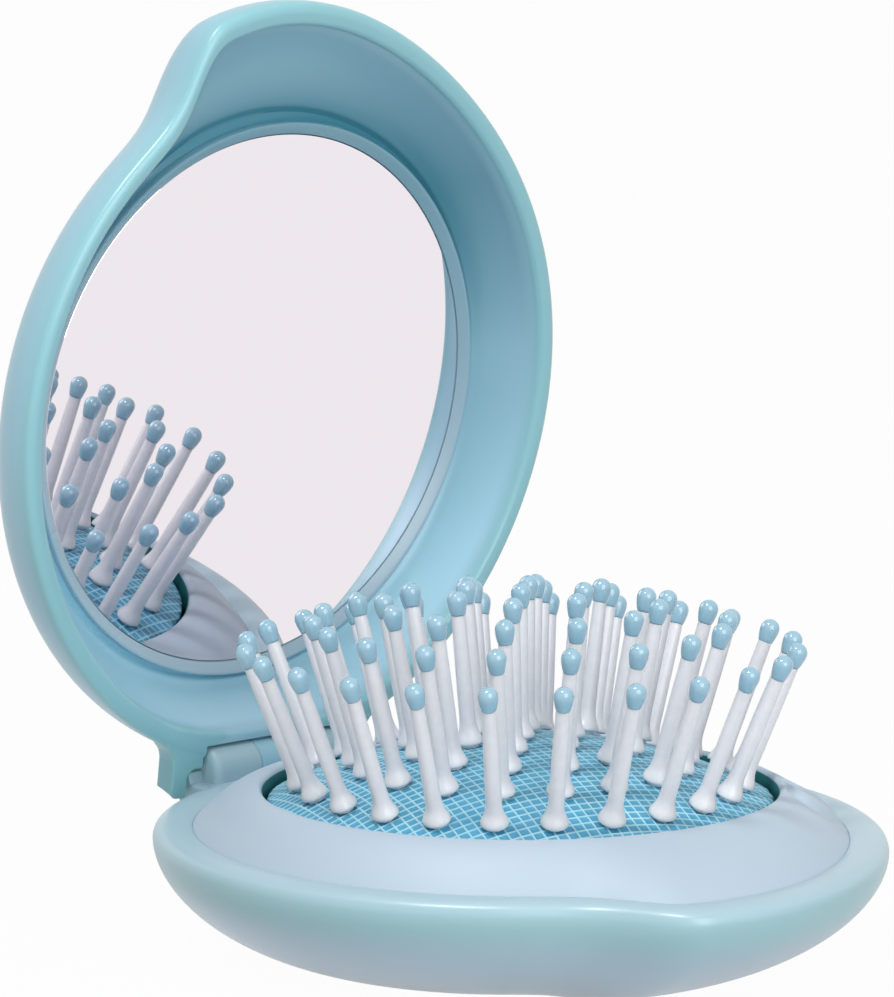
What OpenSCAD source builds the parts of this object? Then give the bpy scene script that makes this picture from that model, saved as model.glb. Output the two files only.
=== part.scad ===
// Folding hairbrush with mirror: a round compact whose brush pad rises as the lid opens.
// Millimetres, +Z up. The origin is on the resting face, under the middle of the base.
// The hinge runs along Y on the -X side. The lid stands open in the rest pose.

/* [Shell outline] */
// Radius of the plain round part of both shells
shell_radius = 38.1; // [38:0.1:40]
// How far the hinge side stands out beyond the circle
heel_bulge = 3.5; // [1:0.1:4]
// Spread of the hinge side bulge in degrees, on the +Y side
heel_spread = 60; // [40:1:70]
// Spread of the hinge side bulge in degrees, on the -Y side
heel_short = 50; // [35:1:60]
// How far the finger tip stands out beyond the circle
tip_bulge = 7.3; // [0:0.1:9]
// Direction of the finger tip in degrees from +X
tip_angle = -19; // [-40:1:20]
// Spread of the tip on its steep side in degrees
tip_steep = 10; // [8:1:30]
// Spread of the tip on its gentle side in degrees
tip_gentle = 39; // [20:1:60]

/* [Base] */
// Height of the base from the resting face to its rim
base_h = 14.6; // [13:0.1:20]
// Wall of the base bowl
base_wall = 1.1; // [0.9:0.1:1.2]
// Roundness of the bowl, 2 is an ellipse
base_power = 1.8; // [1.75:0.05:2.4]
// How far in from the outline the bowl curves
base_reach = 23.2; // [20:0.1:24]
// How far the middle of the flat underside lies toward the hinge
base_lean = 5; // [3:0.1:6]
// Width of the rounded rim of the base
base_roll = 4.1; // [3:0.1:5]
// Height of the rounding of the rim's outer edge
rim_drop = 1.6; // [0.8:0.1:2]
// Width of the rounding of the rim's outer edge
rim_round = 2.2; // [1.2:0.1:2.6]

/* [Brush frame] */
// Diameter of the round opening for the brush pad
opening_d = 55; // [54.5:0.1:55.5]
// Height of the opening lip above the rim of the base
lip_rise = 4.3; // [3:0.1:6]
// Wall of the frame and of its guide tube
frame_wall = 1.2; // [1:0.1:1.4]
// Sideways place of the pad from the middle of the shell
pad_y = -0.5; // [-1.5:0.1:1.5]

/* [Lid] */
// Depth of the lid from its rim to its back
lid_h = 11.2; // [11:0.1:13]
// Roundness of the lid
lid_power = 2.3; // [2.2:0.05:3]
// How far in from the outline the lid curves
lid_reach = 11.5; // [9:0.1:12]
// How far the middle of the lid's back lies toward the hinge
lid_lean = 7; // [5:0.1:8]
// Thickness of the lid rim
lid_roll = 2.2; // [2:0.1:3]
// How much wider the lid rim is at the hinge
rim_bridge = 1.6; // [0.8:0.1:2]
// Spread of the wider rim in degrees
bridge_spread = 16; // [12:1:20]
// Opening angle of the lid in the rest pose
open_angle = 82.4; // [70:0.1:84]

/* [Mirror] */
// Diameter of the mirror
mirror_d = 60; // [50:0.5:61]
// Thickness of the mirror
mirror_t = 1; // [0.8:0.1:1.2]
// Depth of the mirror face below the lid rim
mirror_recess = 8.5; // [8.3:0.1:9]
// Thickness of the foam pad behind the mirror
foam_t = 0.3; // [0.2:0.05:0.5]
// Width of the raised ring around the mirror
ring_w = 1.5; // [1:0.1:2]
// Height of the ring above the mirror face
ring_rise = 0.8; // [0.4:0.1:1]
// Place of the mirror toward the tip from the middle of the shell
mirror_x = -2.1; // [-3:0.1:1]
// Sideways place of the mirror
mirror_y = 1.0; // [-1:0.1:1.5]

/* [Hinge] */
// Distance of the hinge axis beyond the heel of the shell
hinge_stand = 0.2; // [0:0.1:1]
// Height of the hinge axis above the rim of the base
hinge_up = 0.9; // [0.5:0.1:1.5]
// Diameter of the hinge pin
hinge_pin_d = 2.4; // [2:0.1:3]
// Running fit of the lid's middle knuckle on the pin, per side
hinge_fit = 0.05; // [0.02:0.01:0.1]
// Outer radius of the hinge knuckles
knuckle_r = 2.9; // [2.6:0.1:3.2]
// Half width over both knuckles of the base
knuckle_half = 9.5; // [8:0.1:10]
// Rounding of the outer ends of the base knuckles
knuckle_round = 1; // [0.5:0.1:1.2]
// Half width over the toes of the base knuckles, which reach under the lid legs
toe_half = 11.4; // [10.4:0.1:11.6]
// Half width of the middle knuckle of the lid
middle_half = 2.85; // [2:0.05:3.2]
// Wall of a base knuckle beyond the end of the pin
knuckle_cap = 1.1; // [0.8:0.1:1.4]
// Distance from the middle of the hinge to the outer side of a lid leg
leg_out = 14.2; // [13.4:0.1:15]
// Width of the end of a leg
leg_w = 2.2; // [1.8:0.1:2.8]
// Thickness of a leg
leg_t = 2.7; // [2:0.1:3]
// Length of a leg past the hinge axis
leg_l = 2.5; // [1.8:0.1:2.8]
// Reach of the opening stop from the hinge axis
stop_reach = 4.6; // [4:0.1:6]
// Gap round the moving hinge parts
hinge_gap = 0.4; // [0.3:0.05:0.6]
// Gap between the ends of knuckles and legs
end_gap = 0.2; // [0.1:0.05:0.4]

/* [Brush pad] */
// Radius of the ball the domed cushion is cut from
dome_r = 61.1; // [50:0.5:90]
// Height of the outer bristle roots above the rim of the base
root_rise = 4.6; // [4:0.1:5]
// Turn of the bristle pattern in degrees
pattern_turn = 10; // [0:1:59]
// Thickness of the rubber cushion
cushion_t = 0.7; // [0.5:0.1:1]
// Gap between the pad and the opening
pad_gap = 0.6; // [0.5:0.1:1]
// Width of the ring under the cushion edge
pad_ring_w = 2.2; // [1.5:0.1:2.4]
// Thickness of the ring at its outer edge
pad_ring_t = 0.8; // [0.6:0.1:1.2]
// Chamfer under the outer edge of the ring
pad_ring_bevel = 0.7; // [0.4:0.1:0.8]

/* [Bristles] */
// Length from the cushion to the middle of the ball tip
bristle_l = 15.84; // [12:0.1:16]
// Diameter of a bristle
bristle_d = 1.35; // [1:0.05:1.6]
// Diameter of the flared foot
foot_d = 2.4; // [1.6:0.1:2.6]
// Height of the flared foot
foot_h = 3.2; // [0.8:0.1:4]
// Diameter of the ball tip
ball_d = 2.1; // [1.8:0.05:2.4]
// Length of the ball tip's neck below the middle of the ball
tip_neck = 1.6; // [1.2:0.1:2]
// Diameter of the head under the cushion
head_d = 2.4; // [2:0.1:2.6]
// Thickness of the head under the cushion
head_t = 0.7; // [0.4:0.1:0.8]
// Gap of the heads to the cushion and to the pad ring
head_gap = 0.05; // [0.02:0.01:0.1]
// Space between the outer heads and the pad ring
head_space = 0.2; // [0.1:0.05:0.5]

/* [Lift lever] */
// Radius of the lifting disc under the cushion
disc_r = 8.2; // [7.6:0.1:9]
// Thickness of the lifting disc
disc_t = 1.2; // [0.8:0.1:1.4]
// Distance of the lever pivot outside the opening
pivot_stand = 1.8; // [1.4:0.1:2.2]
// Radius of the lever's boss round its pin
boss_r = 1.1; // [1:0.05:1.3]
// Diameter of the lever pivot pin
pivot_d = 1.2; // [1:0.1:1.4]
// Width of the lever
lever_w = 5; // [3:0.1:6]
// Thickness of the lever
lever_t = 0.9; // [0.7:0.1:1]
// Gap under the lever when it lies folded, and above its tip
lever_gap = 0.3; // [0.2:0.05:0.5]

/* [Output] */
// Which piece to show

/* [Hidden] */
$fn = 96;
seg = 96;                                   // points round the shell outline
eps = 0.01;
shell_col = [0.66, 0.82, 0.87];
frame_col = [0.76, 0.84, 0.91];
white_col = [0.90, 0.90, 0.93];
tip_col = [0.50, 0.74, 0.88];
rubber_col = [0.33, 0.62, 0.82];
steel_col = [0.70, 0.71, 0.73];
hinge_out = shell_radius + heel_bulge + hinge_stand;
hinge_z = base_h + hinge_up;
lip_z = base_h + lip_rise;
opening_r = opening_d / 2;
ledge_z = base_h - 1.7;                     // ledge that carries the brush frame
lid_top = base_h + lid_h;
mirror_z = base_h + mirror_recess;          // mirror face, lid closed
seat_z = mirror_z + mirror_t + foam_t;      // floor of the mirror seat, lid closed
mirror_r = mirror_d / 2;
root_z = base_h + root_rise;
pad_r = opening_r - pad_gap;
bristle_ring = pad_r - pad_ring_w - head_d / 2 - head_space;  // four rings share it equally
edge_lean = asin(bristle_ring / dome_r);
dome_z = root_z - dome_r * cos(edge_lean);  // middle of the ball of the cushion
under_r = dome_r - cushion_t;
ring_in = pad_r - pad_ring_w;
ring_z = dome_z + sqrt(under_r * under_r - pad_r * pad_r) - pad_ring_t;
disc_z = dome_z + under_r - head_gap - head_t - disc_t;
pin_half = knuckle_half - knuckle_cap;

function wrap(a) = (a + 900) % 360 - 180;
function bump(a, s) = exp(-pow(a / s, 2));
// Distance of the shell outline from the middle, in the direction a
function outline(a) = shell_radius
  + heel_bulge * bump(wrap(a - 180), wrap(a - 180) < 0 ? heel_spread : heel_short)
  + tip_bulge * bump(wrap(a - tip_angle), wrap(a - tip_angle) < 0 ? tip_steep : tip_gentle);
function ang(i) = i * 360 / seg;
// Distance of the outline in the direction a, inset by a share of the radius and by more at the hinge
function inset_r(a, inset, more) =
  outline(a) * (1 - (inset + more * bump(wrap(a - 180), bridge_spread)) / shell_radius);
// One ring of points along the inset outline
function ring(inset, z, more = 0) = [for (i = [0:seg - 1])
  let (r = inset_r(ang(i), inset, more)) [r * cos(ang(i)), r * sin(ang(i)), z]];
// One ring of points between the inset outline and a circle, s runs from 0 to 1
function blend(inset, r1, c, s, z, more = 0) = [for (i = [0:seg - 1])
  let (a = ang(i), r0 = inset_r(a, inset, more))
  [(1 - s) * r0 * cos(a) + s * (c[0] + r1 * cos(a)),
   (1 - s) * r0 * sin(a) + s * (c[1] + r1 * sin(a)), z]];
// A ring of points moved toward the hinge
function moved(points, d) = [for (p = points) p - [d, 0, 0]];
// Inset of a bowl at the share t of its depth
function bowl(t, reach, power) = reach * (1 - pow(1 - pow(t, power), 1 / power));

module loft(rings, looped = false) {
  m = len(rings);
  pts = [for (r = rings) for (p = r) p];
  last = looped ? m - 1 : m - 2;
  sides = [for (k = [0:last]) for (i = [0:seg - 1])
    let (j = (i + 1) % seg, k2 = (k + 1) % m,
         a = k * seg + i, b = k * seg + j, c = k2 * seg + j, d = k2 * seg + i)
    each [[a, d, c], [a, c, b]]];
  caps = looped ? [] : [[for (i = [0:seg - 1]) i], [for (i = [seg - 1:-1:0]) (m - 1) * seg + i]];
  polyhedron(points = pts, faces = concat(sides, caps), convexity = 10);
}

// Bowl profile points [inset, height below the start] and the same points moved in by the wall
function bowl_pt(t, depth, reach, power) = [bowl(t, reach, power), depth * t];
function bowl_in(t, depth, reach, power, wall) =
  let (p = bowl_pt(t, depth, reach, power),
       q0 = bowl_pt(max(t - 0.01, 0), depth, reach, power),
       q1 = bowl_pt(min(t + 0.01, 0.999), depth, reach, power),
       d = q1 - q0, n = [d[1], -d[0]] / norm(d))
  [p[0] + n[0] * wall, p[1] + n[1] * wall];

base_ts = [0.985, 0.95, 0.9, 0.83, 0.74, 0.63, 0.5, 0.36, 0.2, 0.08];
base_depth = (base_h - rim_drop) / base_ts[0];
lid_ts = [0.985, 0.95, 0.9, 0.83, 0.74, 0.63, 0.5, 0.34, 0.18, 0.07];
lid_drop = 1;
lid_depth = (lid_h - lid_drop) / lid_ts[0];

top = base_h - rim_drop;
// Height of the bowl's outer face at radius r in the direction a
function bowl_z(r, a) =
  let (inset = (outline(a) - r) / (outline(a) / shell_radius + base_lean * cos(a) / base_reach))
  top - base_depth *
  min(base_ts[0], pow(1 - pow(max(1 - inset / base_reach, 0), base_power), 1 / base_power));
// Height of the bowl's inner face there
function floor_z(r, a) = let (slope = (bowl_z(r + 0.05, a) - bowl_z(r - 0.05, a)) / 0.1)
  max(base_wall, bowl_z(r, a) + base_wall * sqrt(1 + slope * slope));
tube_low = 0.35 + max([for (a = [0:15:345]) floor_z(opening_r + frame_wall + abs(pad_y), a)]);

// The lift lever, seen from its pivot: x along the folded arm, second value its height
pivot_out = opening_r + pivot_stand;
pivot_z = floor_z(pivot_out, 180) + boss_r + lever_gap;
lever_reach = pivot_out + 0.8;
bracket_y = lever_w / 2 + lever_gap;        // inner face of each bracket of the lever pin
bracket_w = 1.6;
bracket_r = 1.3;
bracket_out = bracket_y + bracket_w;
bracket_z = (bowl_z(pivot_out + bracket_r, 180) + floor_z(pivot_out - bracket_r, 180)) / 2;
function under_arm(x) = floor_z(pivot_out - x, 180) + lever_gap - pivot_z;
arm_bends = [1.2, 2.5, 4.5, 7, 10, 13.5];
arm_flat = base_wall + lever_gap - pivot_z;
// Turn at which the raised tip of the arm stays a gap below the lifting disc
lever_lift = asin((disc_z - pivot_z - 1.5 * lever_gap) / norm([lever_reach, arm_flat + lever_t]))
  - atan((arm_flat + lever_t) / lever_reach);

module base_bowl() {
  outer = [for (t = base_ts) let (p = bowl_pt(t, base_depth, base_reach, base_power))
    moved(ring(p[0], t == base_ts[0] ? 0 : top - p[1]), base_lean * p[0] / base_reach)];
  rim = [ring(0, top), ring(0.03 * rim_round, top + 0.25 * rim_drop),
    ring(0.13 * rim_round, top + 0.55 * rim_drop), ring(0.38 * rim_round, top + 0.82 * rim_drop),
    ring(0.7 * rim_round, top + 0.96 * rim_drop), ring(rim_round, base_h),
    ring(base_roll - 0.9, base_h - 0.12), ring(base_roll, base_h - 0.45),
    ring(base_roll, ledge_z), ring(base_roll + 1.9, ledge_z), ring(base_roll + 1.9, ledge_z - 0.9)];
  inner = [for (k = [7:-1:0]) let (t = base_ts[k],
      p = bowl_in(t, base_depth, base_reach, base_power, base_wall))
    moved(ring(p[0], k == 0 ? base_wall : top - p[1]), base_lean * p[0] / base_reach)];
  loft(concat(outer, rim, inner));
}

module hinge_cyl(r, y0, y1) {
  translate([-hinge_out, y0, hinge_z]) rotate([-90, 0, 0]) cylinder(r = r, h = y1 - y0, $fn = 48);
}
// Side view of a knuckle's foot from the hinge axis, second value downward
foot_side = [[-2.6, 1.2], [0, 0], [knuckle_r, 0], [knuckle_r, 3.5], [1.8, 5.4], [-1.5, 4]];
// Side view of the lower toe that widens the foot
toe_side = [[-2.4, 2], [-1.2, 1.1], [knuckle_r, 1.1], [knuckle_r, 3.5], [1.8, 5.4], [-1.5, 4]];
// A base knuckle with its rounded outer end, on the +Y side
module base_knuckle() {
  inner_y = middle_half + end_gap;
  straight_w = knuckle_half - knuckle_round - inner_y;
  translate([-hinge_out, 0, hinge_z]) rotate([-90, 0, 0]) {
    translate([0, 0, inner_y]) cylinder(r = knuckle_r, h = straight_w, $fn = 64);
    rotate_extrude($fn = 64) {
      square([knuckle_r - knuckle_round, knuckle_half]);
      translate([knuckle_r - knuckle_round, knuckle_half - knuckle_round]) intersection() {
        circle(r = knuckle_round, $fn = 32);
        square(knuckle_round);
      }
    }
  }
  // foot of the knuckle, down to the wall of the bowl, and its toe
  translate([-hinge_out, inner_y, hinge_z]) rotate([-90, 0, 0]) {
    hull() {
      linear_extrude(straight_w) polygon(foot_side);
      linear_extrude(straight_w + knuckle_round) offset(delta = -knuckle_round) polygon(foot_side);
    }
    hull() {
      linear_extrude(toe_half - inner_y - 0.4) polygon(toe_side);
      linear_extrude(toe_half - inner_y) offset(delta = -0.4) polygon(toe_side);
    }
  }
}
module base_shell() color(shell_col) {
  difference() {
    union() {
      base_bowl();
      base_knuckle();
      mirror([0, 1, 0]) base_knuckle();
      // brackets of the lever pin
      for (s = [-1, 1]) translate([-pivot_out, s > 0 ? bracket_y : -bracket_out, 0]) {
        translate([-bracket_r, 0, bracket_z]) cube([2 * bracket_r, bracket_w, pivot_z - bracket_z]);
        translate([0, 0, pivot_z]) rotate([-90, 0, 0]) cylinder(r = bracket_r, h = bracket_w, $fn = 32);
      }
    }
    hinge_cyl(knuckle_r + hinge_gap, -middle_half - end_gap, middle_half + end_gap);
    hinge_cyl(hinge_pin_d / 2, -pin_half, pin_half);
    translate([-pivot_out, -bracket_out - 1, pivot_z]) rotate([-90, 0, 0])
      cylinder(d = pivot_d, h = 2 * bracket_out + 2, $fn = 32);
  }
}

module brush_bezel() color(frame_col) {
  ss = [0, 0.08, 0.18, 0.3, 0.45, 0.6, 0.78, 1];
  tube_r = opening_r + frame_wall / 2;
  z0 = base_h - 0.45;
  rise = lip_z - 0.15 - z0;
  inset = base_roll + 0.15;
  zs = [for (s = ss) z0 + rise * (1 - pow(1 - s, 1.75))];
  tops = [for (k = [0:len(ss) - 1]) blend(inset, tube_r, [0, pad_y], ss[k], zs[k])];
  unders = [for (k = [len(ss) - 1:-1:0])
    blend(inset, tube_r, [0, pad_y], ss[k], k == 0 ? ledge_z : zs[k] - frame_wall - 0.3)];
  difference() {
    union() {
      loft([each tops, each unders], true);
      translate([0, pad_y, 0]) rotate_extrude() {
        translate([opening_r, tube_low]) square([frame_wall, lip_z - tube_low - frame_wall / 2]);
        translate([opening_r + frame_wall / 2, lip_z - frame_wall / 2])
          circle(d = frame_wall, $fn = 32);
      }
    }
    // relief over the lift lever and its brackets
    translate([-pivot_out - 4, -bracket_out - 0.5, 0])
      cube([10, 2 * bracket_out + 1, pivot_z + 3.4]);
  }
}

module hinge_pin() color(steel_col) hinge_cyl(hinge_pin_d / 2, -pin_half, pin_half);

module lever_pin() color(steel_col)
  translate([-pivot_out, -bracket_out, pivot_z]) rotate([-90, 0, 0])
    cylinder(d = pivot_d, h = 2 * bracket_out, $fn = 32);

module lid_place() {
  translate([-hinge_out, 0, hinge_z]) rotate([0, -open_angle, 0])
    translate([hinge_out, 0, -hinge_z]) children();
}

// The lid is drawn closed over the base, lid_place() then opens it
module lid_bowl() {
  low = base_h + lid_drop;
  seat_r = mirror_r + ring_w + 0.15;
  wall_z = mirror_z + 0.1;
  ss = [1, 0.8, 0.6, 0.42, 0.26, 0.12];
  inner = [for (s = ss) blend(lid_roll, seat_r, [mirror_x, mirror_y], s,
    low + (wall_z - low) * pow(sin(s * 90), 0.8), rim_bridge)];
  rim = [ring(lid_roll, low, rim_bridge), ring(lid_roll - 0.15, base_h + 0.5, rim_bridge),
    ring(lid_roll - 0.7, base_h + 0.1, rim_bridge),
    ring(1, base_h), ring(0.4, base_h + 0.2), ring(0.1, base_h + 0.55), ring(0, low)];
  outer = [for (k = [len(lid_ts) - 1:-1:0]) let (t = lid_ts[k],
      p = bowl_pt(t, lid_depth, lid_reach, lid_power))
    moved(ring(p[0], k == 0 ? lid_top : low + p[1]), lid_lean * p[0] / lid_reach)];
  loft(concat(inner, rim, outer));
}

// A leg at one side: a plate flush with the lid rim that passes the end of the base knuckle.
// It is the solid common to its front view and its side view, both seen from the hinge axis.
module lid_leg(s) {
  near_y = knuckle_half + end_gap + 0.1;
  low = base_h + 0.2;
  front = [[-leg_l, leg_out - leg_w], [-leg_l, leg_out - 0.6], [0.6 - leg_l, leg_out], [2, leg_out],
    [2.9, leg_out + 0.3], [3.9, leg_out + 1.2], [4.9, leg_out + 1], [2.9, near_y], [0.6, near_y],
    [0.6, leg_out - leg_w - 0.7], [0, leg_out - leg_w - 0.1], [-0.4, leg_out - leg_w]];
  side = [[0.2 - leg_l, 0], [-leg_l, 0.3], [-leg_l, 0.8], [1.2 - leg_l, leg_t], [5, leg_t], [5, 0]];
  translate([-hinge_out, 0, low]) intersection() {
    linear_extrude(leg_t) polygon([for (p = front) [p[0], s * p[1]]]);
    translate([0, s > 0 ? 0 : -20, 0]) rotate([90, 0, 0]) mirror([0, 0, 1]) linear_extrude(20) polygon(side);
  }
}
// The middle knuckle, with its web and the nose that stops the lid against the heel of the base
module lid_middle() {
  nose_r = 1;
  hinge_cyl(knuckle_r, -middle_half, middle_half);
  translate([-hinge_out, -middle_half, hinge_z]) cube([lid_roll + 1, 2 * middle_half, knuckle_r]);
  translate([nose_r - hinge_out - stop_reach, -middle_half, hinge_z + 0.3]) {
    cube([stop_reach - nose_r, 2 * middle_half, 2 * nose_r]);
    translate([0, 0, nose_r]) rotate([-90, 0, 0]) cylinder(r = nose_r, h = 2 * middle_half, $fn = 32);
  }
}

module lid_shell() color(shell_col) lid_place() difference() {
  union() {
    difference() {
      lid_bowl();
      hinge_cyl(knuckle_r + hinge_gap, -knuckle_half - end_gap, knuckle_half + end_gap);
    }
    lid_leg(1);
    lid_leg(-1);
    lid_middle();
  }
  hinge_cyl(hinge_pin_d / 2 + hinge_fit, -middle_half - eps, middle_half + eps);
  translate([mirror_x, mirror_y, mirror_z - 0.3])
    cylinder(r = mirror_r + 0.1, h = seat_z - mirror_z + 0.3);
}

module mirror_glass() color([0.86, 0.88, 0.90]) lid_place()
  translate([mirror_x, mirror_y, mirror_z]) cylinder(r = mirror_r, h = mirror_t);

module mirror_ring() color(shell_col) lid_place()
  translate([mirror_x, mirror_y, mirror_z - ring_rise]) rotate_extrude()
    translate([mirror_r + 0.1, 0]) square([ring_w - 0.1, ring_rise + 0.1]);

module mirror_pad() color([0.85, 0.85, 0.85]) lid_place()
  translate([mirror_x, mirror_y, mirror_z + mirror_t]) cylinder(r = mirror_r - 3, h = foam_t);

// One bristle: i counts round its ring, k is the ring from 0 in the middle to 4 at the edge
counts = [1, 6, 12, 18, 24];
module at_bristle(k, i) {
  lean = asin(bristle_ring * k / 4 / dome_r);
  translate([0, pad_y, dome_z]) rotate([0, 0, pattern_turn + i * 360 / counts[k]])
    rotate([0, lean, 0]) translate([0, 0, dome_r]) children();
}
module bristle() {
  low = cushion_t + head_gap + head_t;
  cylinder(d1 = foot_d, d2 = bristle_d, h = foot_h, $fn = 32);
  translate([0, 0, -low]) cylinder(d = bristle_d, h = low + bristle_l - ball_d * 0.3, $fn = 32);
  translate([0, 0, -low]) cylinder(d = head_d, h = head_t, $fn = 32);
}
module tip() {
  neck_top = ball_d * 0.16;
  difference() {
    union() {
      translate([0, 0, bristle_l]) sphere(d = ball_d, $fn = 32);
      translate([0, 0, bristle_l - tip_neck])
        cylinder(r1 = bristle_d / 2 + 0.06, r2 = sqrt(pow(ball_d / 2, 2) - pow(neck_top, 2)),
                 h = tip_neck - neck_top, $fn = 32);
    }
    translate([0, 0, bristle_l - ball_d]) cylinder(d = bristle_d, h = ball_d * 0.7, $fn = 32);
  }
}
module ring_pins(k) for (i = [0:counts[k] - 1]) at_bristle(k, i) bristle();
module ring_tips(k) for (i = [0:counts[k] - 1]) at_bristle(k, i) tip();
module edge_pins(n) color(white_col) for (j = [0:2]) at_bristle(4, 3 * (n - 1) + j) bristle();
module edge_tips(n) color(tip_col) for (j = [0:2]) at_bristle(4, 3 * (n - 1) + j) tip();

module pins_centre() color(white_col) { ring_pins(0); ring_pins(1); }
module tips_centre() color(tip_col) { ring_tips(0); ring_tips(1); }
module pins_mid() color(white_col) ring_pins(2);
module tips_mid() color(tip_col) ring_tips(2);
module pins_wide() color(white_col) ring_pins(3);
module tips_wide() color(tip_col) ring_tips(3);
module pins_edge_1() edge_pins(1);
module pins_edge_2() edge_pins(2);
module pins_edge_3() edge_pins(3);
module pins_edge_4() edge_pins(4);
module pins_edge_5() edge_pins(5);
module pins_edge_6() edge_pins(6);
module pins_edge_7() edge_pins(7);
module pins_edge_8() edge_pins(8);
module tips_edge_1() edge_tips(1);
module tips_edge_2() edge_tips(2);
module tips_edge_3() edge_tips(3);
module tips_edge_4() edge_tips(4);
module tips_edge_5() edge_tips(5);
module tips_edge_6() edge_tips(6);
module tips_edge_7() edge_tips(7);
module tips_edge_8() edge_tips(8);

// Domed rubber sheet with a hole for each bristle
module cushion() color(rubber_col) difference() {
  translate([0, pad_y, dome_z]) intersection() {
    difference() {
      sphere(r = dome_r, $fn = 180);
      sphere(r = under_r, $fn = 180);
    }
    cylinder(r = pad_r, h = dome_r + 1);
  }
  for (k = [0:4]) for (i = [0:counts[k] - 1]) at_bristle(k, i)
    translate([0, 0, -cushion_t - 0.5]) cylinder(d = bristle_d + 0.04, h = cushion_t + 1, $fn = 32);
}

// Ring that carries the edge of the rubber sheet, relieved over the lift lever
module pad_ring() color(frame_col) difference() {
  translate([0, pad_y, dome_z]) difference() {
    intersection() {
      sphere(r = under_r, $fn = 180);
      translate([0, 0, ring_z - dome_z]) cylinder(r = pad_r, h = 10);
    }
    translate([0, 0, ring_z - dome_z - 1]) cylinder(r = ring_in, h = 20);
    translate([0, 0, ring_z - dome_z]) difference() {
      translate([0, 0, -1]) cylinder(r = pad_r + 1, h = 1 + pad_ring_bevel);
      translate([0, 0, -eps]) cylinder(r1 = pad_r - pad_ring_bevel, r2 = pad_r, h = pad_ring_bevel + 2 * eps);
    }
  }
  translate([-pad_r - 2, -lever_w / 2 - 0.6, 0]) cube([8, lever_w + 1.2, lip_z]);
}

module lift_disc() color(frame_col) translate([0, pad_y, 0]) intersection() {
  translate([0, 0, dome_z]) sphere(r = under_r - head_gap - head_t, $fn = 180);
  translate([0, 0, disc_z]) cylinder(r = disc_r, h = disc_t + 1);
}

// Lever that raises the lifting disc, drawn folded and then turned up about its pin
module lift_lever() color(frame_col)
  translate([-pivot_out, 0, pivot_z]) rotate([0, -lever_lift, 0]) difference() {
    union() {
      rotate([90, 0, 0]) linear_extrude(lever_w, center = true) polygon([
        [0, 0.1 - boss_r], each [for (x = arm_bends) [x, under_arm(x)]], [lever_reach, arm_flat],
        [lever_reach, arm_flat + lever_t],
        each [for (i = [len(arm_bends) - 1:-1:0]) [arm_bends[i], under_arm(arm_bends[i]) + lever_t]],
        [0.6, boss_r - 0.3]]);
      translate([0, -lever_w / 2, 0]) rotate([-90, 0, 0]) cylinder(r = boss_r, h = lever_w, $fn = 32);
    }
    translate([0, -lever_w / 2 - 1, 0]) rotate([-90, 0, 0])
      cylinder(d = pivot_d + 0.1, h = lever_w + 2, $fn = 32);
  }

base_shell();
brush_bezel();
hinge_pin();
lever_pin();
lid_shell();
mirror_glass();
mirror_ring();
mirror_pad();
pad_ring();
cushion();
lift_lever();
lift_disc();
pins_centre();
tips_centre();
pins_mid();
tips_mid();
pins_wide();
tips_wide();
pins_edge_1();
pins_edge_2();
pins_edge_3();
pins_edge_4();
pins_edge_5();
pins_edge_6();
pins_edge_7();
pins_edge_8();
tips_edge_1();
tips_edge_2();
tips_edge_3();
tips_edge_4();
tips_edge_5();
tips_edge_6();
tips_edge_7();
tips_edge_8();
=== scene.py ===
# %% [markdown]
# # A folding hairbrush with a mirror in its lid
# This lesson dresses a plain CAD model of a round travel brush in finished shapes and real finishes. The
# brush is a compact of two dished plastic shells on a hinge. The lower one holds a domed rubber cushion with
# 61 nylon bristles, and the upper one holds a round mirror. We load the CAD model first, because every new
# piece takes its place from it.

# %% Load the frame
import bpy
import numpy as np
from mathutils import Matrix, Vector


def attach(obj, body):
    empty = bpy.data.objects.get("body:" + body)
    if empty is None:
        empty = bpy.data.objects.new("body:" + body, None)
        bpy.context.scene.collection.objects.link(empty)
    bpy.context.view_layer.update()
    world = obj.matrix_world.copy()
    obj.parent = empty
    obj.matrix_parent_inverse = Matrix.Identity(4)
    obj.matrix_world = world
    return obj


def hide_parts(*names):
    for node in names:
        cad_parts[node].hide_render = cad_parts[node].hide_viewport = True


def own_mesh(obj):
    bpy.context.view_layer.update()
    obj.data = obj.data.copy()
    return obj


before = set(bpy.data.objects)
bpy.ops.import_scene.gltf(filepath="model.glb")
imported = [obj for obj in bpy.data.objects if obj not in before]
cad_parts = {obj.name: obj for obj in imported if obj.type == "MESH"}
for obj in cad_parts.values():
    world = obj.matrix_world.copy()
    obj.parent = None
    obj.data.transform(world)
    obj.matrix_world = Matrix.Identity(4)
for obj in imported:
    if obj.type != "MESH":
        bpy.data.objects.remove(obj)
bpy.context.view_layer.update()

# %% [markdown]
# ## Sizes that the pieces share
# The brush is measured in millimetres, as its maker would, and each finished mesh is scaled to metres once.
# Both shells follow one outline: a circle that swells a little at the hinge and runs out to a rounded finger
# tip. Writing the outline as a formula, not as a list of points, lets every piece sample it as finely as it
# needs, and the two shells then meet exactly when the lid is shut.

# %% The outline of both shells
MM = 0.001  # a millimetre in metres
ROUND = 38.1  # radius of the plain part of the outline
HEEL_OUT, HEEL_SPREADS = 3.5, (60, 50)  # swelling at the hinge, and its spread to each side in degrees
TIP_OUT, TIP_SPREADS = 7.3, (10, 39)  # the same for the finger tip
TIP_AT = -19  # direction of the finger tip in degrees
HINGE = np.array([-41.8, 0.0, 15.5])  # a point of the hinge's axis, which runs along Y
HINGE_SPREAD = 16  # spread in degrees of what is wider at the hinge alone
OPEN_DEG = 82.4  # how far the lid stands open
RIM_Z = 14.6  # crest of the base's rim, and of the lid's when it is shut


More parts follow.
